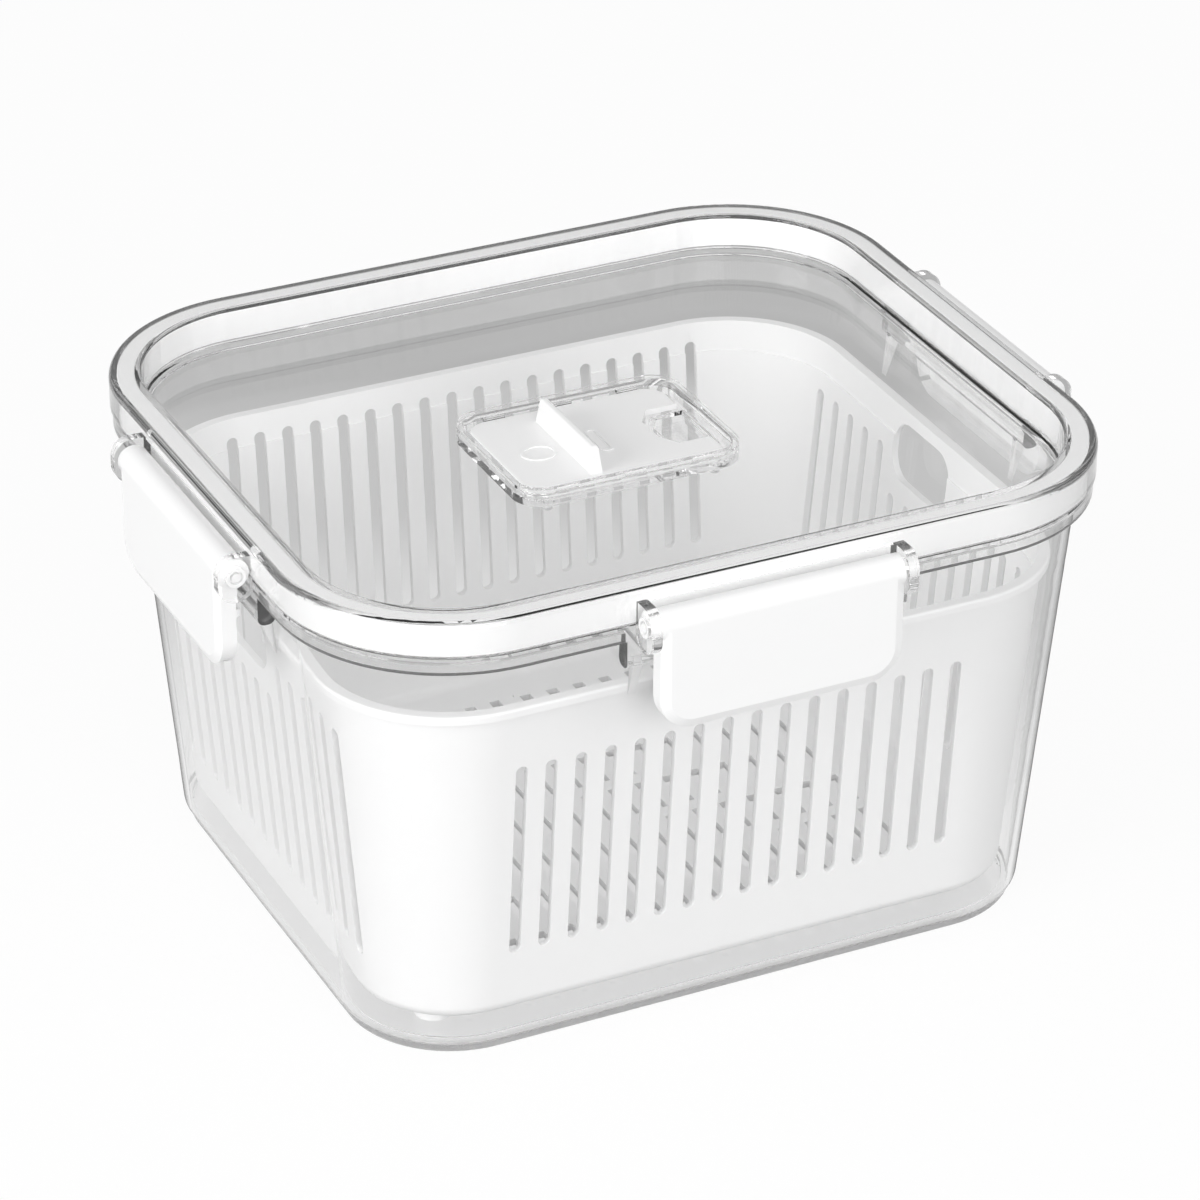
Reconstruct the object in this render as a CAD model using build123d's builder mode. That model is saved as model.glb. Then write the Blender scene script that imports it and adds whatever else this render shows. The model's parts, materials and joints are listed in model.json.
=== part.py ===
from build123d import *
import os

# Airtight food container: clear tub, white drain basket, clear lid with a white seal
# behind its skirt, three white latches and a white sliding vent.
# X runs along the long sides, -Y is the front, Z is up. The origin is under the centre.

# Overall plan: every level of the tub, lid and basket is this outline moved inward
lid_length = 220.0
lid_depth = 192.0
lid_corner = 45.0

# Tub
tub_wall = 2.0
tub_rim_top = 121.6
tub_top_inset = 4.3
tub_base_inset = 15.2
tub_floor = 2.4
foot_height = 1.6
foot_inset = 1.4
foot_overlap = 1.2
foot_round = 0.8
tub_bottom_round = 3.6
flange_inset = 0.6
flange_thickness = 2.2
flange_lip_height = 4.6
flange_lip_wall = 1.8
flange_round = 0.6
tongue_inset = 3.5
tongue_width = 1.2
tongue_height = 1.2

# Catch bars under the flange, one on each latched side
catch_length = 76.0
catch_drop = 7.4
catch_depth = 4.6
catch_round = 1.9
gusset_offset = 34.0
gusset_width = 2.2
gusset_drop = 11.5
gusset_tip = 0.3
gusset_root = 1.0

# Lid
lid_height = 9.5
lid_gap = 0.4
rim_plate = 1.8
rim_round = 2.2
rim_inner_round = 1.0
skirt_round = 0.5
rim_width = 8.4
skirt_wall = 2.2
recess_wall = 1.8
recess_draft = 0.7
recess_foot_round = 1.1
panel_top = 120.5
panel_thickness = 2.0
panel_round = 2.2
notch_depth = 1.2

# Seal in the lid's channel
seal_gap = 0.1
groove_gap = 0.3
seal_draft_share = 0.2

# Latches, their ears on the lid and their stub pins
latch_width = 65.6
latch_gap = 0.4
latch_depth = 5.0
latch_face = 2.0
latch_side = 2.2
latch_drop = 28.0
latch_corner = 9.0
latch_stand = 3.8
barrel_radius = 4.1
barrel_clearance = 0.6
pivot_rise = 1.0
pin_radius = 2.6
pin_clearance = 0.05
pin_groove_outer = 1.8
pin_groove_inner = 1.2
pin_groove_depth = 1.2
ear_width = 2.8
ear_radius = 4.8
ear_height = 12.2
ear_drop = 0.6
flange_clearance = 0.3
hook_width = 54.0
hook_height = 2.6
hook_slope = 0.8
hook_clearance = 0.5
border_width = 2.4
border_depth = 1.1
border_round = 0.5

# Basket
basket_wall = 1.8
basket_floor = 2.0
basket_rim_top = 100.5
basket_top_inset = 12.2
basket_base_inset = 20.0
basket_base = 7.5
basket_round = 4.5
basket_rim_width = 1.8
basket_rim_height = 2.2
basket_rim_round = 0.7
basket_step_drop = 8.5
basket_step = 0.5
basket_foot_radius = 5.0
basket_foot_spread = 16.0
basket_foot_margin = 1.0
slot_width = 3.2
slot_pitch = 8.0
front_slots = 16
front_slot_bottom = 26.0
front_slot_top = 82.0
back_slots = 18
back_slot_bottom = 35.0
back_slot_top = 95.0
side_slots = 14
side_slot_pitch = 8.4
side_slot_bottom = 21.0
side_slot_top = 87.0
short_slots = 4
short_slot_top = 75.0
handle_width = 29.0
handle_height = 16.5
handle_bottom = 80.5
handle_round = 7.0
floor_slot_length = 14.0
floor_slot_gap = 4.5
floor_slot_columns = 17
floor_slot_rows = 7

# Vent in the lid panel: tray, sliding plate, seal and well
tray_length = 63.0
tray_depth = 48.0
tray_wall = 1.6
tray_corner = 8.0
tray_rim = 0.8
tray_sink = 3.4
tray_floor = 1.6
plate_gap = 0.3
plate_slack = 0.12
plate_thickness = 1.5
vent_travel = 1.9
fin_offset = -8.0
fin_length = 33.0
fin_height = 7.0
fin_base = 3.4
fin_tip = 2.0
fin_slope = 1.5
fin_round = 0.7
plate_round = 0.5
ring_offset = -16.5
ring_radius = 4.8
ring_squash = 0.85
ring_band = 0.9
emboss_height = 0.3
bar_mark_offset = 0.5
bar_mark_length = 13.0
bar_mark_width = 3.6
window_start = 15.0
window_neck = 9.0
window_width = 20.0
window_slope = 3.6
well_start = 17.6
well_margin = 1.2
well_depth = 3.0
well_wall = 1.2
vent_hole_length = 2.2
vent_hole_width = 1.8
vent_hole_pitch = 3.0
vent_holes = 3
vent_hole_start = 1.2
vent_seal_height = 0.7
vent_seal_band = 0.8
vent_seal_gap = 0.05
vent_seal_overlap = 0.3
lug_length = 6.0
lug_reach = 0.9
lug_thickness = 0.9
lug_spacing = 19.0
lugs = 3
peg_radius = 1.3
peg_drop = 2.6

# Heights worked out from the sizes above
tub_ledge_top = foot_height + tub_floor
lip_bottom = tub_rim_top - flange_lip_height
skirt_bottom = tub_rim_top + lid_gap
lid_top = skirt_bottom + lid_height
channel_top = lid_top - rim_plate
panel_bottom = panel_top - panel_thickness
catch_bottom = lip_bottom - catch_drop
pivot_z = skirt_bottom + pivot_rise
tray_floor_top = panel_top - tray_sink
plate_bottom = tray_floor_top + plate_slack
plate_top = plate_bottom + plate_thickness
half_length = lid_length / 2
half_depth = lid_depth / 2
vent_hole_place = window_start - vent_travel + vent_hole_start
hook_reach = flange_clearance - flange_inset


def plan(inset, mode=Mode.ADD):
    """The lid outline moved inward, drawn in the open sketch."""
    RectangleRounded(lid_length - 2 * inset, lid_depth - 2 * inset, lid_corner - inset, mode=mode)


def tub_inset(height):
    """Inset of the tub's drafted outer wall at a height."""
    share = (tub_rim_top - height) / (tub_rim_top - foot_height)
    return tub_top_inset + share * (tub_base_inset - tub_top_inset)


def basket_inset(height):
    """Inset of the basket's drafted outer wall at a height."""
    share = (basket_rim_top - height) / (basket_rim_top - basket_base)
    return basket_top_inset + share * (basket_base_inset - basket_top_inset)


def frustum(low, low_inset, high, high_inset, mode=Mode.ADD):
    """A drafted block on the common outline, from one height to another."""
    with BuildSketch(Plane.XY.offset(low)) as low_outline:
        plan(low_inset)
    with BuildSketch(Plane.XY.offset(high)) as high_outline:
        plan(high_inset)
    loft([low_outline.sketch, high_outline.sketch], ruled=True, mode=mode)


def ring(low, high, outer_inset, inner_inset, mode=Mode.ADD):
    """An upright band on the common outline."""
    with BuildSketch(Plane.XY.offset(low)) as band:
        plan(outer_inset)
        plan(inner_inset, mode=Mode.SUBTRACT)
    extrude(band.sketch, amount=high - low, mode=mode)


def side_plane(side, along, out):
    """A plane across one side: local X points outward, local Y up, normal along the side.

    along is the place along the side and out is the distance beyond the lid outline."""
    reach = half_depth if side in ("front", "back") else half_length
    outward = {"front": (0, -1, 0), "back": (0, 1, 0), "left": (-1, 0, 0), "right": (1, 0, 0)}[side]
    direction = Vector(*outward)
    normal = direction.cross(Vector(0, 0, 1))
    return Plane(origin=direction * (reach + out) + normal * along, x_dir=direction, z_dir=normal)


def edges_at(height, shape_edges):
    """The flat edges that lie at one height."""
    return shape_edges.filter_by(lambda e: abs(e.bounding_box().min.Z - height) < 1e-3
                                 and abs(e.bounding_box().max.Z - height) < 1e-3)


def edge_inset(edge):
    """How far an edge lies inside the lid outline, measured on its bounding box."""
    box = edge.bounding_box()
    length_gap = half_length - max(abs(box.min.X), abs(box.max.X))
    depth_gap = half_depth - max(abs(box.min.Y), abs(box.max.Y))
    return min(length_gap, depth_gap)


def wedge(start, end, neck_half, full_half):
    """A notch outline that opens from a narrow neck to its full width, in the open sketch."""
    shoulder = start + window_slope
    with BuildLine() as outline:
        Polyline((end, full_half), (shoulder, full_half), (start, neck_half),
                 (start, -neck_half), (shoulder, -full_half), (end, -full_half), close=True)
    make_face(outline.edges())


def vent_seal_outline(gap):
    """The rectangular seal round the vent holes, with a gap on each side of its band."""
    inner_length = vent_hole_length + 2 * vent_seal_band
    inner_width = (vent_holes - 1) * vent_hole_pitch + vent_hole_width + 2 * vent_seal_band
    with Locations((vent_hole_place, 0)):
        Rectangle(inner_length + 2 * gap, inner_width + 2 * gap)
        Rectangle(inner_length - 2 * (vent_seal_band - vent_seal_overlap + gap),
                  inner_width - 2 * (vent_seal_band - vent_seal_overlap + gap), mode=Mode.SUBTRACT)


latched_sides = ("front", "left", "right")
os.makedirs("parts", exist_ok=True)

# Tub: drafted shell with a stepped foot, a lipped flange, a sealing tongue and the catch bars
foot_outline = tub_base_inset + foot_inset
with BuildPart() as container:
    frustum(foot_height, tub_base_inset, tub_rim_top, tub_top_inset)
    fillet(edges_at(foot_height, container.edges()), tub_bottom_round)
    with BuildSketch(Plane.XY):
        plan(foot_outline)
    extrude(amount=foot_height + foot_overlap)
    fillet(edges_at(0, container.edges()), foot_round)
    with BuildSketch(Plane.XY.offset(tub_rim_top - flange_thickness)):
        plan(flange_inset)
    extrude(amount=flange_thickness)
    ring(lip_bottom, tub_rim_top, flange_inset, flange_inset + flange_lip_wall)
    fillet(edges_at(lip_bottom, container.edges()), flange_round)
    for side in latched_sides:
        with BuildSketch(side_plane(side, -catch_length / 2, 0)):
            with Locations((-flange_inset - catch_depth / 2, (catch_bottom + tub_rim_top) / 2)):
                RectangleRounded(catch_depth, tub_rim_top - catch_bottom, catch_round)
        extrude(amount=catch_length)
        for offset in (-gusset_offset, gusset_offset):
            gusset_bottom = catch_bottom - gusset_drop
            with BuildSketch(side_plane(side, offset - gusset_width / 2, 0)):
                with BuildLine():
                    Polyline((-flange_inset - catch_round, catch_bottom + catch_round),
                             (-flange_inset - catch_round, catch_bottom),
                             (-tub_inset(gusset_bottom) - gusset_tip, gusset_bottom),
                             (-tub_inset(gusset_bottom) - gusset_root, gusset_bottom),
                             (-tub_inset(catch_bottom) - gusset_root, catch_bottom + catch_round),
                             close=True)
                make_face()
            extrude(amount=gusset_width)
    frustum(tub_ledge_top, tub_inset(tub_ledge_top) + tub_wall,
            tub_rim_top, tub_top_inset + tub_wall, mode=Mode.SUBTRACT)
    with BuildSketch(Plane.XY.offset(tub_floor)):
        plan(foot_outline + tub_wall)
    extrude(amount=foot_height, mode=Mode.SUBTRACT)
    fillet(edges_at(tub_floor, container.edges()), foot_round)
    ring(tub_rim_top, tub_rim_top + tongue_height, tongue_inset, tongue_inset + tongue_width)
container.part.label = "container"
export_step(container.part, "parts/container.step")

# Drain basket: drafted shell on four feet, slotted walls and floor, and two hand holes
with BuildPart() as basket:
    frustum(basket_base, basket_base_inset, basket_rim_top, basket_top_inset)
    fillet(edges_at(basket_base, basket.edges()), basket_round)
    ring(basket_rim_top - basket_rim_height, basket_rim_top,
         basket_top_inset - basket_rim_width, basket_top_inset + basket_wall)
    fillet(edges_at(basket_rim_top, basket.edges()), basket_rim_round)
    frustum(basket_base + basket_floor, basket_inset(basket_base + basket_floor) + basket_wall,
            basket_rim_top, basket_top_inset + basket_wall, mode=Mode.SUBTRACT)
    fillet(edges_at(basket_base + basket_floor, basket.edges()), basket_round - basket_wall)
    step_height = basket_rim_top - basket_step_drop
    frustum(step_height, basket_inset(step_height) + basket_wall - basket_step,
            basket_rim_top, basket_top_inset + basket_wall - basket_step, mode=Mode.SUBTRACT)
    foot_x = half_length - basket_base_inset - basket_foot_spread
    foot_y = half_depth - basket_base_inset - basket_foot_spread
    with BuildSketch(Plane.XY.offset(tub_floor)):
        with GridLocations(2 * foot_x, 2 * foot_y, 2, 2):
            Circle(basket_foot_radius)
            Circle(basket_foot_radius - basket_wall, mode=Mode.SUBTRACT)
    extrude(amount=basket_base + basket_floor / 2 - tub_floor)
    cut_depth = basket_base_inset + basket_round
    for side, count, low, high in (("front", front_slots, front_slot_bottom, front_slot_top),
                                   ("back", back_slots, back_slot_bottom, back_slot_top)):
        with BuildSketch(Plane.XZ.offset(-half_depth if side == "back" else half_depth)):
            with Locations((0, (low + high) / 2)):
                with GridLocations(slot_pitch, 1, count, 1):
                    SlotOverall(high - low, slot_width, rotation=90)
        extrude(amount=cut_depth if side == "back" else -cut_depth, mode=Mode.SUBTRACT)
    with BuildSketch(Plane.YZ.offset(-half_length)):
        for index in range(side_slots):
            steps = index - (side_slots - 1) / 2
            top = short_slot_top if abs(steps) < short_slots / 2 else side_slot_top
            with Locations((steps * side_slot_pitch, (top + side_slot_bottom) / 2)):
                SlotOverall(top - side_slot_bottom, slot_width, rotation=90)
        with Locations((0, handle_bottom + handle_height / 2)):
            RectangleRounded(handle_width, handle_height, handle_round)
    extrude(amount=lid_length, mode=Mode.SUBTRACT)
    with BuildSketch(Plane.XY.offset(basket_base)) as floor_pattern:
        with GridLocations(slot_pitch, floor_slot_length + floor_slot_gap,
                           floor_slot_columns, floor_slot_rows):
            Rectangle(slot_width, floor_slot_length)
        with GridLocations(2 * foot_x, 2 * foot_y, 2, 2):
            Circle(basket_foot_radius + basket_foot_margin, mode=Mode.SUBTRACT)
        plan(basket_base_inset + basket_round, mode=Mode.INTERSECT)
    extrude(amount=basket_floor, mode=Mode.SUBTRACT)
basket.part.label = "basket"
export_step(basket.part, "parts/basket.step")

# Lid: hollow rim with an outer skirt, a drafted recess wall, a sunken panel and the vent tray
ear_outer = latch_width / 2 + latch_gap + ear_width
notch_top = pivot_z + barrel_radius + barrel_clearance
recess_bottom_inset = rim_width + recess_draft
with BuildPart() as lid:
    with BuildSketch(Plane.XY.offset(channel_top)):
        plan(0)
    extrude(amount=rim_plate)
    ring(skirt_bottom, channel_top, 0, skirt_wall)
    frustum(panel_bottom, recess_bottom_inset - recess_wall, lid_top, rim_width - recess_wall)
    fillet(edges_at(panel_bottom, lid.edges()), recess_foot_round)
    frustum(panel_top, recess_bottom_inset, lid_top, rim_width, mode=Mode.SUBTRACT)
    fillet(edges_at(panel_top, lid.edges()), panel_round)
    rim_edges = edges_at(lid_top, lid.edges()).group_by(lambda e: round(edge_inset(e), 2))
    fillet(rim_edges[-1], rim_inner_round)
    rim_edges = edges_at(lid_top, lid.edges()).group_by(lambda e: round(edge_inset(e), 2))
    fillet(rim_edges[0], rim_round)
    skirt_edges = edges_at(skirt_bottom, lid.edges()).group_by(lambda e: round(edge_inset(e), 2))
    fillet(skirt_edges[0], skirt_round)
    for side in latched_sides:
        with BuildSketch(side_plane(side, -ear_outer, 0)):
            with Locations((0, (notch_top + skirt_bottom) / 2)):
                Rectangle(2 * notch_depth, notch_top - skirt_bottom)
        extrude(amount=2 * ear_outer, mode=Mode.SUBTRACT)
        for start in (-ear_outer, ear_outer - ear_width):
            with BuildSketch(side_plane(side, start, 0)):
                with Locations((latch_stand, pivot_z - ear_drop)):
                    SlotOverall(ear_height, 2 * ear_radius, rotation=90)
                with BuildLine():
                    Polyline((latch_stand, pivot_z - ear_drop + ear_height / 2),
                             (-notch_depth, notch_top + ear_drop),
                             (-notch_depth, skirt_bottom), (latch_stand, skirt_bottom), close=True)
                make_face()
                with Locations((hook_reach - ear_radius, skirt_bottom - ear_radius)):
                    Rectangle(2 * ear_radius, 2 * ear_radius, mode=Mode.SUBTRACT)
                with Locations((latch_stand, pivot_z)):
                    Circle(pin_radius + pin_clearance, mode=Mode.SUBTRACT)
            extrude(amount=ear_width)
    # Vent tray: a pocket through the panel with its own wall, floor, well and holes
    with BuildSketch(Plane.XY.offset(tray_floor_top - tray_floor)):
        RectangleRounded(tray_length, tray_depth, tray_corner)
    extrude(amount=panel_top + tray_rim - tray_floor_top + tray_floor)
    with BuildSketch(Plane.XY.offset(tray_floor_top)):
        RectangleRounded(tray_length - 2 * tray_wall, tray_depth - 2 * tray_wall, tray_corner - tray_wall)
    extrude(amount=panel_top + tray_rim - tray_floor_top, mode=Mode.SUBTRACT)
    well_bottom = tray_floor_top - well_depth
    well_half = window_width / 2 - well_margin
    neck_half = window_neck / 2 - well_margin
    well_end = tray_length / 2 - tray_wall
    with BuildSketch(Plane.XY.offset(well_bottom - well_wall)):
        wedge(well_start - well_wall, well_end, neck_half + well_wall, well_half + well_wall)
    extrude(amount=well_depth + well_wall - tray_floor / 2)
    with BuildSketch(Plane.XY.offset(well_bottom)):
        wedge(well_start, well_end - well_wall, neck_half, well_half)
    extrude(amount=well_depth, mode=Mode.SUBTRACT)
    with BuildSketch(Plane.XY.offset(tray_floor_top - tray_floor)):
        with Locations((vent_hole_place, 0)):
            with GridLocations(1, vent_hole_pitch, 1, vent_holes):
                Rectangle(vent_hole_length, vent_hole_width)
    extrude(amount=tray_floor, mode=Mode.SUBTRACT)
    with BuildSketch(Plane.XY.offset(tray_floor_top - vent_seal_height)):
        vent_seal_outline(vent_seal_gap)
    extrude(amount=vent_seal_height, mode=Mode.SUBTRACT)
    # Lugs that hold the vent plate down, and pegs under the tray
    lug_bottom = plate_top + plate_slack
    with BuildSketch(Plane.XY.offset(lug_bottom)):
        with GridLocations(lug_spacing, tray_depth - 2 * tray_wall, lugs, 2):
            Rectangle(lug_length, 2 * lug_reach)
    extrude(amount=lug_thickness)
    with BuildSketch(Plane.XY.offset(tray_floor_top - tray_floor - peg_drop)):
        with GridLocations(tray_length - 2 * tray_corner, tray_depth - tray_corner, 2, 2):
            Circle(peg_radius)
    extrude(amount=peg_drop + tray_floor / 2)
lid.part.label = "lid"
export_step(lid.part, "parts/lid.step")

# Seal: a white band that fills the rim channel, grooved below for the tub's tongue
with BuildPart() as lid_seal:
    ring(tub_rim_top, channel_top - seal_gap, skirt_wall + seal_gap,
         rim_width + recess_draft * seal_draft_share - recess_wall - seal_gap)
    frustum(panel_bottom, recess_bottom_inset - recess_wall - seal_gap, lid_top,
            rim_width - recess_wall - seal_gap, mode=Mode.SUBTRACT)
    ring(tub_rim_top, tub_rim_top + tongue_height + groove_gap, tongue_inset - groove_gap,
         tongue_inset + tongue_width + groove_gap, mode=Mode.SUBTRACT)
lid_seal.part.label = "lid_seal"
export_step(lid_seal.part, "parts/lid_seal.step")

# Latches: a hollow-backed plate with a bevelled border, a rolled top, two stub pins and a hook
plate_out = latch_stand + barrel_radius
back_out = plate_out - latch_depth
latch_bottom = pivot_z - latch_drop
hook_top = catch_bottom - hook_clearance
pocket_top = pivot_z - barrel_radius
pocket_bottom = latch_bottom + latch_side
for side in latched_sides:
    across = Axis.X if side in ("left", "right") else Axis.Y
    with BuildPart() as latch:
        with BuildSketch(side_plane(side, -latch_width / 2, back_out)):
            with Locations((latch_depth / 2, (latch_bottom + pivot_z) / 2)):
                Rectangle(latch_depth, pivot_z - latch_bottom)
        extrude(amount=latch_width)
        fillet(latch.edges().filter_by(across).group_by(Axis.Z)[0], latch_corner)
        front_face = latch.faces().sort_by(across)[0 if side in ("front", "left") else -1]
        border = front_face.edges().filter_by(lambda e: e.center().Z < pivot_z - border_depth)
        chamfer(border, border_width, border_depth, reference=front_face)
        front_face = latch.faces().sort_by(across)[0 if side in ("front", "left") else -1]
        border = front_face.edges().filter_by(lambda e: e.center().Z < pivot_z - border_depth)
        fillet(border, border_round)
        with BuildSketch(side_plane(side, -latch_width / 2, 0)):
            with Locations((latch_stand, pivot_z)):
                Circle(barrel_radius)
        extrude(amount=latch_width)
        with BuildSketch(side_plane(side, latch_side - latch_width / 2, 0)):
            with Locations((back_out + (latch_depth - latch_face) / 2, (pocket_bottom + pocket_top) / 2)):
                Rectangle(latch_depth - latch_face, pocket_top - pocket_bottom)
        extrude(amount=latch_width - 2 * latch_side, mode=Mode.SUBTRACT)
        with BuildSketch(side_plane(side, -hook_width / 2, 0)):
            with BuildLine():
                Polyline((hook_reach, hook_top), (plate_out - latch_face / 2, hook_top),
                         (plate_out - latch_face / 2, hook_top - hook_height - hook_slope),
                         (back_out, hook_top - hook_height - hook_slope),
                         (hook_reach, hook_top - hook_height + hook_slope), close=True)
            make_face()
        extrude(amount=hook_width)
        pin_end = latch_width / 2 + latch_gap + ear_width
        for start in (-pin_end, latch_width / 2 - barrel_radius):
            with BuildSketch(side_plane(side, start, 0)):
                with Locations((latch_stand, pivot_z)):
                    Circle(pin_radius)
            extrude(amount=pin_end - latch_width / 2 + barrel_radius)
        for start in (-pin_end, pin_end - pin_groove_depth):
            with BuildSketch(side_plane(side, start, 0)):
                with Locations((latch_stand, pivot_z)):
                    Circle(pin_groove_outer)
                    Circle(pin_groove_inner, mode=Mode.SUBTRACT)
            extrude(amount=pin_groove_depth, mode=Mode.SUBTRACT)
    latch.part.label = "latch_" + side
    export_step(latch.part, "parts/latch_" + side + ".step")

# Vent seal: a soft loop in the tray floor, round the vent holes
with BuildPart() as vent_seal:
    with BuildSketch(Plane.XY.offset(tray_floor_top - vent_seal_height)):
        vent_seal_outline(-vent_seal_gap)
    extrude(amount=vent_seal_height + plate_slack - vent_seal_gap)
vent_seal.part.label = "vent_seal"
export_step(vent_seal.part, "parts/vent_seal.step")

# Vent plate: a sliding plate with a finger fin, a raised ring and bar mark and an open notch
with BuildPart() as vent_slider:
    plate_length = tray_length - 2 * tray_wall - 2 * plate_gap - 2 * vent_travel
    plate_depth = tray_depth - 2 * tray_wall - 2 * plate_gap
    with BuildSketch(Plane.XY.offset(plate_bottom)):
        RectangleRounded(plate_length, plate_depth, tray_corner - tray_wall - plate_gap)
    extrude(amount=plate_thickness)
    fillet(edges_at(plate_top, vent_slider.edges()), plate_round)
    with BuildSketch(Plane.XY.offset(plate_bottom)):
        wedge(window_start, plate_length / 2 + 1, window_neck / 2, window_width / 2)
    extrude(amount=plate_thickness, mode=Mode.SUBTRACT)
    with BuildSketch(Plane.XY.offset(plate_top - plate_round)) as fin_foot:
        with Locations((fin_offset, 0)):
            Rectangle(fin_base, fin_length)
    with BuildSketch(Plane.XY.offset(plate_top + fin_height)) as fin_tip_outline:
        with Locations((fin_offset, 0)):
            Rectangle(fin_tip, fin_length - 2 * fin_slope)
    loft(ruled=True)
    fillet(edges_at(plate_top + fin_height, vent_slider.edges()), fin_round)
    with BuildSketch(Plane.XY.offset(plate_top)):
        with Locations((ring_offset, 0)):
            Ellipse(ring_radius, ring_radius * ring_squash)
            Ellipse(ring_radius - ring_band, ring_radius * ring_squash - ring_band, mode=Mode.SUBTRACT)
        with Locations((bar_mark_offset, 0)):
            SlotOverall(bar_mark_length, bar_mark_width, rotation=90)
            SlotOverall(bar_mark_length - 2 * ring_band, bar_mark_width - 2 * ring_band, rotation=90,
                        mode=Mode.SUBTRACT)
    extrude(amount=emboss_height)
vent_slider.part.label = "vent_slider"
export_step(vent_slider.part, "parts/vent_slider.step")
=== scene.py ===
import json
import math

import bmesh
import bpy
from mathutils import Matrix, Vector

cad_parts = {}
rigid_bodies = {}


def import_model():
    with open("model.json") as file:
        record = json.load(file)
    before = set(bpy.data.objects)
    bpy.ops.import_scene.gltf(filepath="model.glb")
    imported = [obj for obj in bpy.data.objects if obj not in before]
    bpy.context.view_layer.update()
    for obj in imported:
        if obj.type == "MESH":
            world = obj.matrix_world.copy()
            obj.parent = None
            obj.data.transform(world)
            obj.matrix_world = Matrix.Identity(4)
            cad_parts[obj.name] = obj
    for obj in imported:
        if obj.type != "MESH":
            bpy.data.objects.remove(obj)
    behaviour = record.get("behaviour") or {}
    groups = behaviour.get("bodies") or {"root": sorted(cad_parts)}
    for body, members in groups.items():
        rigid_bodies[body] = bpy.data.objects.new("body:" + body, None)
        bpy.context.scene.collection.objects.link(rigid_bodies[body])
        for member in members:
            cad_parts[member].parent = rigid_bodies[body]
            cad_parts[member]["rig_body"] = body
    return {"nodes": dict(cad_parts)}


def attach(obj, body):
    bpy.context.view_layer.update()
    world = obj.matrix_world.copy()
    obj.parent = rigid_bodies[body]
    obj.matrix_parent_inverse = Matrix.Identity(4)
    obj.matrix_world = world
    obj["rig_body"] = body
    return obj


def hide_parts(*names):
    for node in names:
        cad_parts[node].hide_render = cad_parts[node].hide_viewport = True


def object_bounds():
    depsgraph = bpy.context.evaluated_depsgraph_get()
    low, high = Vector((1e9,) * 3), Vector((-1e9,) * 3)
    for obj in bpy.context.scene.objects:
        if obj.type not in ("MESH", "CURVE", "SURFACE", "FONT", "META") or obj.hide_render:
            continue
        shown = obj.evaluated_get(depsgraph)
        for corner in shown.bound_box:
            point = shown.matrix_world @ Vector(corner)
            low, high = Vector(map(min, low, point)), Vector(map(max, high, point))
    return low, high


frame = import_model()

cad_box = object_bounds()
scene = bpy.context.scene
nodes = frame["nodes"]
mm = 0.001

# Camera, worked out from the photograph's rim, base and latch outlines
camera_place = Vector((-499.06, -1028.66, 705.69)) * mm
camera_azimuth = math.radians(-25.928)
camera_elevation = math.radians(28.992)
camera_roll = math.radians(0.318)
camera_near = 0.05
camera_far = 50.0
sensor_width = 36.0
photo_pixels = 1200
focal_pixels = 5029.6

# Dressing of the CAD solids
weld_distance = 0.002 * mm
flat_angle = math.radians(0.2)
crease_angle = math.radians(32)
bevel_angle = math.radians(40)
bevel_segments = 2
latch_bevel = 0.25 * mm
slider_bevel = 0.15 * mm
basket_bevel = 0.3 * mm
lid_seal_bevel = 0.2 * mm
vent_seal_bevel = 0.05 * mm

# Plan outline that every level of the tub and lid follows, and how far a wall may turn from it
half_plan = (110.0 * mm, 96.0 * mm)
corner_radius = 45.0 * mm
bend_angle = math.radians(9)
least_level_part = 0.05

# Heights and places on the tub and lid, by which faces get a material of their own, most of them
# painted shade
underside_reach = 0.3 * mm
wall_low = 4.0 * mm
lip_low = 116.99 * mm
skirt_low = 121.99 * mm
lower_edge_rise = 0.6 * mm
catch_low = 109.6 * mm
catch_high = 117.0 * mm
catch_half_length = 38.0 * mm
catch_middle = (100.0 * mm, 86.0 * mm)
gusset_low = 98.0 * mm
gusset_offset = 34.0 * mm
gusset_half = 1.1 * mm
gusset_merge = 1.9 * mm
rim_height = 121.6 * mm
rim_inset = 4.3 * mm
wall_draft = 10.9 / 120.0
place_slack = 0.1 * mm
wall_slack = 0.03 * mm

# Tilts of those faces, as the upward part of their normals, and how square a catch end stands
underside_tilt = -0.9
foot_step_tilts = (-0.95, -0.5)
lower_edge_tilt = -0.25
wall_tilt = 0.3
square_on = 0.99

# Clear plastic: refraction, a faint tint with painted shade that deepens it at grazing edges, the
# faint waves of its moulded skin and its outlines, a thin line of painted shade
plastic_ior = 1.49
# The face-on tint is the plastic's own; the darker colour at grazing edges is painted shade.
clear_tint = 0.985
clear_edge_shade = 0.72
edge_shade_blend = 0.35
edge_shade_power = 3.0
wave_scale = 22.0
wave_detail = 1.0
wave_strength = 0.006
wave_height = 0.0006
# Outline: a thin grey line of painted shade where the clear walls turn away from view
outline_blend = 0.5
outline_start = 0.76
outline_full = 0.93
outline_level = 0.15

# White plastic and silicone: a bright tone with faint clouds and a fine grain
white_level = 0.93
white_ior = 1.5
cloud_scale = 14.0
cloud_detail = 3.0
cloud_shade = 0.985
grain_detail = 2.0
grain_strength = 0.35

# Room that the clear parts show: places from straight down to straight up, and their brightness
room_light = 0.6
room_levels = ((0.0, 0.45), (0.40, 0.5), (0.49, 0.35), (0.51, 0.32), (0.54, 0.33), (0.58, 0.45),
               (0.66, 0.6), (0.8, 0.85), (1.0, 0.95))

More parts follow.
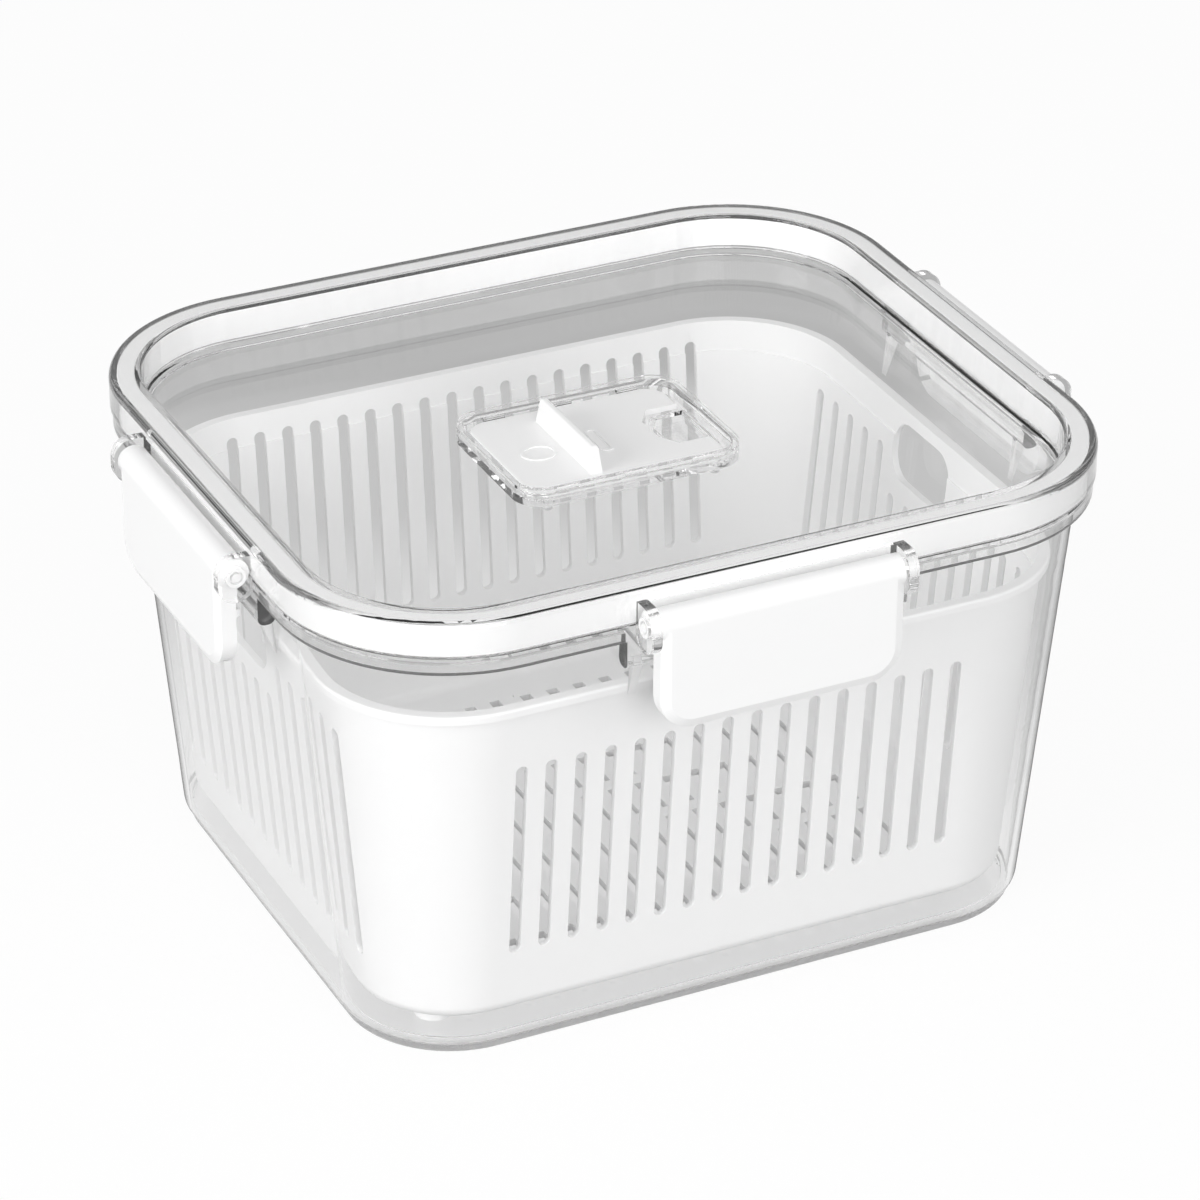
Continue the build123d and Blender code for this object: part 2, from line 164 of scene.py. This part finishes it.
# Floor: what the clear parts show of it outward from the middle, a painted pool of light that glows
# most near the middle, and how much it shines by itself
floor_half = 4.0
floor_gap = 0.2 * mm
floor_colour = 0.35
floor_seen_colour = 0.95
floor_seen_share = 0.9
floor_mirror_share = 0.95
floor_inner_share = 0.2
outside_depth = 0.5
floor_reach = 0.5
floor_levels = ((0.22, 0.85), (0.38, 0.38), (0.53, 0.38), (0.57, 0.18), (1.0, 0.16))

# Lamps: compass direction in degrees and power in watts
lamps = {"key": (-8, 18.5), "side": (-78, 25.5), "fill": (40, 6.0)}
lamp_elevation = math.radians(18)
lamp_distance = 2.2
lamp_size = 1.2

# How often light may bounce through the clear walls
bounces = {"max_bounces": 24, "transmission_bounces": 24, "glossy_bounces": 16,
           "transparent_max_bounces": 8, "diffuse_bounces": 5}


def compass(azimuth, elevation):
    """Direction from the object towards an azimuth and elevation; azimuth 0 is the front."""
    return Vector((math.sin(azimuth) * math.cos(elevation),
                   -math.cos(azimuth) * math.cos(elevation),
                   math.sin(elevation)))


def grey(value):
    """An opaque grey of a given brightness."""
    return (value, value, value, 1.0)


def add_camera():
    """A camera at the photograph's place, turned by azimuth, elevation and roll."""
    data = bpy.data.cameras.new("camera")
    data.sensor_width = sensor_width
    data.lens = focal_pixels / photo_pixels * sensor_width
    data.clip_start = camera_near
    data.clip_end = camera_far
    camera = bpy.data.objects.new("camera", data)
    scene.collection.objects.link(camera)
    back = compass(camera_azimuth, camera_elevation)
    right = Vector((math.cos(camera_azimuth), math.sin(camera_azimuth), 0.0))
    up = back.cross(right)
    rolled_right = right * math.cos(camera_roll) + up * math.sin(camera_roll)
    rolled_up = up * math.cos(camera_roll) - right * math.sin(camera_roll)
    turn = Matrix((rolled_right, rolled_up, back)).transposed()
    camera.matrix_world = Matrix.Translation(camera_place) @ turn.to_4x4()
    scene.camera = camera


class Graph:
    """A small helper that adds shader nodes to a material or world and links them."""

    def __init__(self, owner):
        owner.use_nodes = True
        self.tree = owner.node_tree
        self.tree.nodes.clear()

    def add(self, kind, inputs=(), **settings):
        """Adds a node with its settings, and links or sets its inputs."""
        node = self.tree.nodes.new(kind)
        for name, value in settings.items():
            setattr(node, name, value)
        for name, value in dict(inputs).items():
            self.put(node.inputs[name], value)
        return node

    def put(self, socket, value):
        """Links another node's output to an input, or sets a plain value on it."""
        if isinstance(value, bpy.types.NodeSocket):
            self.tree.links.new(value, socket)
        else:
            socket.default_value = value

    def output(self, kind, shader):
        """Ends the graph with a shader as its surface."""
        self.add(kind, {"Surface": shader})

    def mix_shader(self, factor, first, second):
        """Mixes two shaders by a factor."""
        return self.add("ShaderNodeMixShader", {0: factor, 1: first, 2: second}).outputs[0]

    def math(self, operation, *values):
        """One sum on values or outputs."""
        return self.add("ShaderNodeMath", enumerate(values), operation=operation).outputs[0]

    def noise(self, scale, detail):
        """Noise in the object's own space."""
        place = self.add("ShaderNodeTexCoord").outputs["Object"]
        return self.add("ShaderNodeTexNoise", {
            "Vector": place, "Scale": scale, "Detail": detail}).outputs["Fac"]

    def spread(self, value, low, high, start=0.0, end=1.0):
        """Maps a value between start and end to a range, and holds it there."""
        return self.add("ShaderNodeMapRange", {
            "Value": value, "From Min": start, "From Max": end,
            "To Min": low, "To Max": high}).outputs["Result"]

    def blend(self, factor, first, second):
        """Mixes two colours by a factor."""
        node = self.add("ShaderNodeMix", data_type="RGBA")
        self.put(node.inputs["Factor"], factor)
        colours = [socket for socket in node.inputs if socket.type == "RGBA"]
        for socket, value in zip(colours, (first, second)):
            self.put(socket, value)
        return next(socket for socket in node.outputs if socket.type == "RGBA")

    def ramp(self, value, levels):
        """Grey levels along a 0..1 value; each level is a place and a brightness."""
        node = self.add("ShaderNodeValToRGB", {"Fac": value})
        stops = node.color_ramp.elements
        stops[0].position, stops[0].color = levels[0][0], grey(levels[0][1])
        stops[1].position, stops[1].color = levels[-1][0], grey(levels[-1][1])
        for place, level in levels[1:-1]:
            stops.new(place).color = grey(level)
        return node.outputs["Color"]

    def bump(self, height, strength, distance):
        """Normals of a surface that a texture raises a little."""
        return self.add("ShaderNodeBump", {
            "Height": height, "Strength": strength, "Distance": distance}).outputs["Normal"]


def white_material(name, roughness, grain_size, grain_depth):
    """White moulded plastic: a fine grain, faint clouds and a roughness that varies a little."""
    material = bpy.data.materials.new(name)
    graph = Graph(material)
    cloud = graph.noise(cloud_scale, cloud_detail)
    grain = graph.noise(1.0 / grain_size, grain_detail)
    shader = graph.add("ShaderNodeBsdfPrincipled", {
        "Base Color": graph.blend(cloud, grey(white_level * cloud_shade), grey(white_level)),
        "Roughness": graph.spread(grain, *roughness),
        "IOR": white_ior,
        "Normal": graph.bump(grain, grain_strength, grain_depth)})
    graph.output("ShaderNodeOutputMaterial", shader.outputs["BSDF"])
    return material


def clear_material(name, tint_and_shade, edge_shade, roughness=0.0, clearness=1.0, outline=0.0):
    """Clear plastic: refracts, with a faint tint and painted shade that darkens it at grazing edges.

    The face-on colour is the plastic's faint tint on plain pieces and a grey of painted shade on
    marked faces. clearness is the share of light let through, and outline is how strongly a thin
    grey line of painted shade shows where the surface turns away."""
    material = bpy.data.materials.new(name)
    graph = Graph(material)
    # Painted shade: the colour darkens towards grazing edges, where the surface turns away from view.
    facing = graph.add("ShaderNodeLayerWeight", {"Blend": edge_shade_blend}).outputs["Facing"]
    edge_shading = graph.math("POWER", facing, edge_shade_power)
    waves = graph.noise(wave_scale, wave_detail)
    surface = graph.add("ShaderNodeBsdfPrincipled", {
        "Base Color": graph.blend(edge_shading, grey(tint_and_shade), grey(edge_shade)),
        "Roughness": roughness,
        "IOR": plastic_ior,
        "Transmission Weight": clearness,
        "Normal": graph.bump(waves, wave_strength, wave_height)}).outputs["BSDF"]
    # Painted shade: a thin grey line mixed in where the surface turns away
    if outline:
        turn = graph.add("ShaderNodeLayerWeight", {"Blend": outline_blend}).outputs["Facing"]
        edge = graph.spread(turn, 0.0, outline, outline_start, outline_full)
        line = graph.add("ShaderNodeBsdfDiffuse", {"Color": grey(outline_level)})
        surface = graph.mix_shader(edge, surface, line.outputs["BSDF"])
    graph.output("ShaderNodeOutputMaterial", surface)
    return material


def plan_direction(place, normal):
    """Outward direction of the plan outline at a point, or None where the surface leaves it."""
    over_x = abs(place.x) - (half_plan[0] - corner_radius)
    over_y = abs(place.y) - (half_plan[1] - corner_radius)
    if over_x > 0 and over_y > 0:
        way = Vector((math.copysign(over_x, place.x), math.copysign(over_y, place.y), 0.0))
    elif abs(normal.x) > abs(normal.y):
        way = Vector((1.0, 0.0, 0.0))
    else:
        way = Vector((0.0, 1.0, 0.0))
    way.normalize()
    level = Vector((normal.x, normal.y, 0.0))
    if level.length < least_level_part:
        return None
    level.normalize()
    if level.dot(way) < 0:
        way.negate()
    return way if level.dot(way) > math.cos(bend_angle) else None


def true_normals(piece):
    """Turns the normals of walls and fillets to the exact direction of the plan outline."""
    view = bpy.context.evaluated_depsgraph_get()
    mesh = bpy.data.meshes.new_from_object(piece.evaluated_get(view))
    normals = []
    for loop, corner in zip(mesh.loops, mesh.corner_normals):
        normal = corner.vector.copy()
        way = plan_direction(mesh.vertices[loop.vertex_index].co, normal)
        if way is not None:
            rise = max(-1.0, min(1.0, normal.z))
            normal = way * math.sqrt(1.0 - rise * rise) + Vector((0.0, 0.0, rise))
        normals.append(normal)
    mesh.normals_split_custom_set(normals)
    piece.modifiers.clear()
    piece.data = mesh


def weld(mesh, opaque):
    """Joins a mesh's split corners and shades it smooth, with sharp creases on clear pieces."""
    normals = mesh.attributes.get("custom_normal")
    if normals:
        mesh.attributes.remove(normals)
    form = bmesh.new()
    form.from_mesh(mesh)
    bmesh.ops.remove_doubles(form, verts=form.verts, dist=weld_distance)
    bmesh.ops.dissolve_degenerate(form, edges=form.edges, dist=weld_distance)
    if opaque:
        bmesh.ops.dissolve_limit(form, angle_limit=flat_angle, verts=form.verts, edges=form.edges)
    for face in form.faces:
        face.smooth = True
    for edge in form.edges:
        edge.smooth = opaque or edge.calc_face_angle(math.pi) < crease_angle
    form.to_mesh(mesh)
    form.free()


def dress(name, material, bevel=0.0):
    """Stands for a CAD node: its welded copy with even normals and, if opaque, softened edges."""
    source = nodes[name]
    mesh = source.data.copy()
    piece = bpy.data.objects.new(name + "_finish", mesh)
    scene.collection.objects.link(piece)
    weld(mesh, opaque=bevel > 0)
    mesh.materials.clear()
    mesh.materials.append(material)
    if bevel:
        soften = piece.modifiers.new("soften", "BEVEL")
        soften.width = bevel
        soften.segments = bevel_segments
        soften.limit_method = "ANGLE"
        soften.angle_limit = bevel_angle
        soften.loop_slide = False
    even = piece.modifiers.new("even_normals", "WEIGHTED_NORMAL")
    even.keep_sharp = True
    if not bevel:
        true_normals(piece)
    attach(piece, source["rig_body"])
    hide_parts(name)
    return piece


def dress_clear(name, material, marks):
    """A clear piece that throws no shadow; each mark is a material and the faces that get it."""
    piece = dress(name, material)
    piece.visible_shadow = False
    piece.visible_diffuse = False
    for index, (marked, belongs) in enumerate(marks, start=1):
        piece.data.materials.append(marked)
        for face in piece.data.polygons:
            if belongs(face):
                face.material_index = index


def is_underside(face):
    """The tub's flat underside, which stands on the table."""
    return face.normal.z < underside_tilt and face.center.z < underside_reach


def is_wall(face):
    """The tub's upright walls between foot and flange."""
    return abs(face.normal.z) < wall_tilt and wall_low < face.center.z < lip_low


def is_foot_step(face):
    """The rounded step between the tub's foot and its walls."""
    lowest, highest = foot_step_tilts
    return lowest < face.normal.z < highest and underside_reach < face.center.z < wall_low


def is_catch_end(face):
    """The upright ends of the catch bars under the flange."""
    if not catch_low < face.center.z < catch_high:
        return False
    for along, across in ((0, 1), (1, 0)):
        at_end = abs(abs(face.center[along]) - catch_half_length) < place_slack
        faces_along = abs(face.normal[along]) > square_on
        if at_end and faces_along and abs(face.center[across]) > catch_middle[across]:
            return True
    return False


def is_gusset(face):
    """The small leaf-shaped ribs under the catch bars, outside the tub's drafted wall."""
    height = face.center.z
    if not gusset_low < height < catch_low + gusset_merge:
        return False
    inset = rim_inset + (rim_height - height) * wall_draft
    for along, across in ((0, 1), (1, 0)):
        beside = abs(abs(face.center[along]) - gusset_offset) < gusset_half + place_slack
        if beside and abs(face.center[across]) > half_plan[across] - inset + wall_slack:
            return True
    return False


def is_lower_edge(face, low):
    """The narrow lower edge of a wall that hangs down to a given height."""
    return face.normal.z < lower_edge_tilt and low < face.center.z < low + lower_edge_rise


def is_lip_edge(face):
    """The lower edge of the tub's hanging lip."""
    return is_lower_edge(face, lip_low)


def is_skirt_edge(face):
    """The lower edge of the lid's skirt, just above the tub's flange."""
    return is_lower_edge(face, skirt_low)


def add_world():
    """White where it is seen directly; lamps, reflections and refractions meet a graded grey room."""
    world = bpy.data.worlds.new("studio")
    scene.world = world
    graph = Graph(world)
    direction = graph.add("ShaderNodeTexCoord").outputs["Generated"]
    height = graph.add("ShaderNodeSeparateXYZ", {"Vector": direction}).outputs["Z"]
    shade = graph.ramp(graph.spread(height, 0.0, 1.0, start=-1.0), room_levels)
    path = graph.add("ShaderNodeLightPath").outputs
    clear_path = graph.math("MAXIMUM", path["Is Glossy Ray"], path["Is Transmission Ray"])
    lamp = graph.add("ShaderNodeBackground", {"Color": grey(1.0), "Strength": room_light})
    room = graph.add("ShaderNodeBackground", {"Color": shade, "Strength": 1.0})
    seen = graph.add("ShaderNodeBackground", {"Color": grey(1.0), "Strength": 1.0})
    inner = graph.mix_shader(clear_path, lamp.outputs["Background"], room.outputs["Background"])
    choice = graph.mix_shader(path["Is Camera Ray"], inner, seen.outputs["Background"])
    graph.output("ShaderNodeOutputWorld", choice)


def add_lamp(name, azimuth, power):
    """A square soft lamp that aims at the object's middle from a compass direction."""
    data = bpy.data.lights.new(name, "AREA")
    data.shape = "RECTANGLE"
    data.size = lamp_size
    data.size_y = lamp_size
    data.energy = power
    lamp = bpy.data.objects.new(name, data)
    scene.collection.objects.link(lamp)
    away = compass(math.radians(azimuth), lamp_elevation)
    middle = (Vector(cad_box[0]) + Vector(cad_box[1])) / 2
    lamp.location = middle + away * lamp_distance
    lamp.rotation_mode = "QUATERNION"
    lamp.rotation_quaternion = (-away).to_track_quat("-Z", "Y")


def floor_material():
    """White where it is seen, grey in the clear parts with a painted pool of light near the middle
    that darkens further out, with the shadow kept.
    """
    material = bpy.data.materials.new("floor")
    graph = Graph(material)
    path = graph.add("ShaderNodeLightPath").outputs
    colour = graph.blend(path["Is Camera Ray"], grey(floor_colour), grey(floor_seen_colour))
    lit = graph.add("ShaderNodeBsdfDiffuse", {"Color": colour})
    glow = graph.add("ShaderNodeEmission", {"Color": grey(1.0), "Strength": 1.0})
    place = graph.add("ShaderNodeTexCoord").outputs["Object"]
    away = graph.add("ShaderNodeVectorMath", {0: place}, operation="LENGTH").outputs["Value"]
    # Painted light: seen through the clear parts, the floor glows most near the middle and less
    # further out.
    painted_light_pool = graph.ramp(graph.math("DIVIDE", away, floor_reach), floor_levels)
    outside = graph.math("LESS_THAN", path["Transmission Depth"], outside_depth)
    mirror = graph.spread(outside, floor_inner_share, floor_mirror_share)
    through = graph.math("MULTIPLY", path["Is Transmission Ray"], painted_light_pool)
    mirrored = graph.math("MULTIPLY", path["Is Glossy Ray"], mirror)
    seen = graph.math("MULTIPLY", path["Is Camera Ray"], floor_seen_share)
    share = graph.math("MAXIMUM", graph.math("MAXIMUM", through, mirrored), seen)
    graph.output("ShaderNodeOutputMaterial",
                 graph.mix_shader(share, lit.outputs["BSDF"], glow.outputs["Emission"]))
    return material


def add_floor():
    """A wide square floor just under the tub."""
    half = floor_half
    mesh = bpy.data.meshes.new("floor")
    mesh.from_pydata([(-half, -half, 0), (half, -half, 0), (half, half, 0), (-half, half, 0)],
                     [], [(0, 1, 2, 3)])
    floor = bpy.data.objects.new("floor", mesh)
    floor.location = (0.0, 0.0, -floor_gap)
    scene.collection.objects.link(floor)
    mesh.materials.append(floor_material())


add_camera()
add_world()
for name, (azimuth, power) in lamps.items():
    add_lamp(name, azimuth, power)
add_floor()

clear = clear_material("clear_plastic_looks", clear_tint, clear_edge_shade)
# The walls also get the thin grey outline of painted shade.
wall = clear_material("clear_plastic_walls", clear_tint, clear_edge_shade, outline=0.85)
frosted = clear_material("clear_plastic_underside", clear_tint, edge_shade=0.9, roughness=0.5)
# Painted shade: the gussets get a light grey, partly opaque, in place of the grey that refraction
# gives them.
painted_grey_gussets = clear_material("clear_plastic_gussets", tint_and_shade=0.8, edge_shade=0.7,
                       roughness=0.4, clearness=0.35)
# Painted shade: the rounded foot step gets a grey, partly opaque colour, standing in for the grey
# line refraction draws there.
painted_soft_line = clear_material("clear_plastic_foot_step", tint_and_shade=0.6, edge_shade=0.55,
                           roughness=0.1, clearness=0.6)
# Painted shade: the lower edges of the tub's lip and the lid's skirt get a near-black, partly opaque
# colour, standing in for the dark lines there.
painted_dark_line = clear_material("clear_plastic_lower_edges", tint_and_shade=0.13, edge_shade=0.12,
                           roughness=0.1, clearness=0.35)
# Painted shade: the upright ends of the catch bars get a near-black, partly opaque colour.
painted_shade_catch_ends = clear_material("clear_plastic_catch_ends", tint_and_shade=0.1, edge_shade=0.06,
                        roughness=0.2, clearness=0.4)
satin = white_material("white_satin", roughness=(0.42, 0.52),
                       grain_size=0.6 * mm, grain_depth=0.03 * mm)
gloss = white_material("white_gloss", roughness=(0.26, 0.34),
                       grain_size=1.0 * mm, grain_depth=0.01 * mm)
silicone = white_material("white_silicone_looks", roughness=(0.5, 0.6),
                          grain_size=0.8 * mm, grain_depth=0.02 * mm)

# The foot step, catch ends, gussets and the lower edges of the tub's lip and the lid's skirt get
# painted shade; the underside gets a rough frosting and the walls a painted outline.
dress_clear("container", clear, ((frosted, is_underside), (wall, is_wall),
                                 (painted_soft_line, is_foot_step), (painted_shade_catch_ends, is_catch_end),
                                 (painted_grey_gussets, is_gusset), (painted_dark_line, is_lip_edge)))
dress_clear("lid", clear, ((painted_dark_line, is_skirt_edge),))
for name in ("latch_front", "latch_left", "latch_right"):
    dress(name, gloss, latch_bevel)
dress("vent_slider", gloss, slider_bevel)
dress("basket", satin, basket_bevel)
dress("lid_seal", silicone, lid_seal_bevel)
dress("vent_seal", silicone, vent_seal_bevel)

scene.view_settings.view_transform = "Standard"
for name, count in bounces.items():
    setattr(scene.cycles, name, count)
